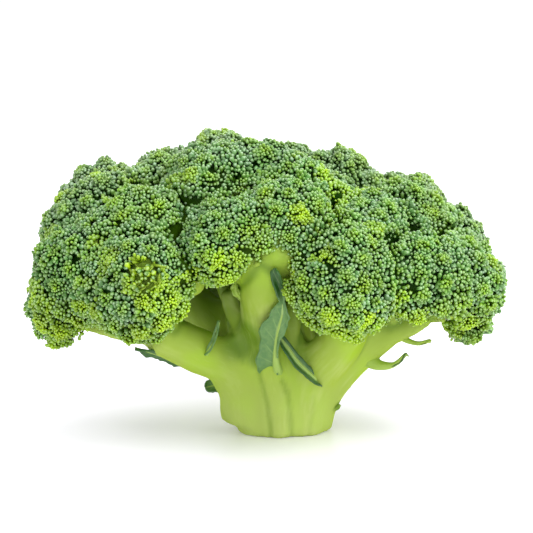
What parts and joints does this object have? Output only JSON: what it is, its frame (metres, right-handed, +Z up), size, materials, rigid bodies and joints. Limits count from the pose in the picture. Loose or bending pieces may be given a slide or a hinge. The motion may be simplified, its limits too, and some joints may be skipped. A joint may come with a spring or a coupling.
{
  "type": "broccoli head",
  "caption": "Fresh broccoli head, standing on its cut stalk: branching pale green stalk, domed crown of dark green bud clusters, small leaves on the stalk.",
  "frame": {"origin": "middle of the cut face at the bottom of the stalk, which the head stands on", "axes": "+Z up out of the cut face, +X to the right along the crown's long way as seen from the front, -Y to the front"},
  "size_m": [0.178, 0.149, 0.1128],
  "materials": {
    "stalk": "smooth waxy skin, pale yellow-green",
    "buds": "fine matt buds, dark green with a grey bloom, yellow-green in the clusters' middles",
    "leaf": "thin matt leaf, grey-green with a pale midrib"
  },
  "bodies": {
    "root": {"floret_crown_left": "buds", "floret_crown_middle": "buds", "floret_crown_rear_left": "buds", "floret_crown_rear_right": "buds", "floret_crown_right": "buds", "floret_left_crown": "buds", "floret_left_front": "buds", "floret_left_outer": "buds", "floret_left_rear": "buds", "floret_left_tip": "buds", "floret_left_top": "buds", "floret_middle_left": "buds", "floret_middle_right": "buds", "floret_rear_left_lower": "buds", "floret_rear_left_upper": "buds", "floret_rear_middle_left": "buds", "floret_rear_middle_right": "buds", "floret_rear_right_crown": "buds", "floret_rear_right_lower": "buds", "floret_rear_right_upper": "buds", "floret_right_front": "buds", "floret_right_inner": "buds", "floret_right_outer": "buds", "floret_right_shoulder": "buds", "floret_right_tip": "buds", "floret_right_top": "buds", "floret_right_upper": "buds", "leaf_crossing": "leaf", "leaf_front": "leaf", "leaf_left": "leaf", "leaf_rear": "leaf", "leaf_right_high": "leaf", "leaf_right_low": "leaf", "leaf_stem": "leaf", "leaf_under_left": "leaf", "stalk": "stalk"}
  },
  "joints": []
}
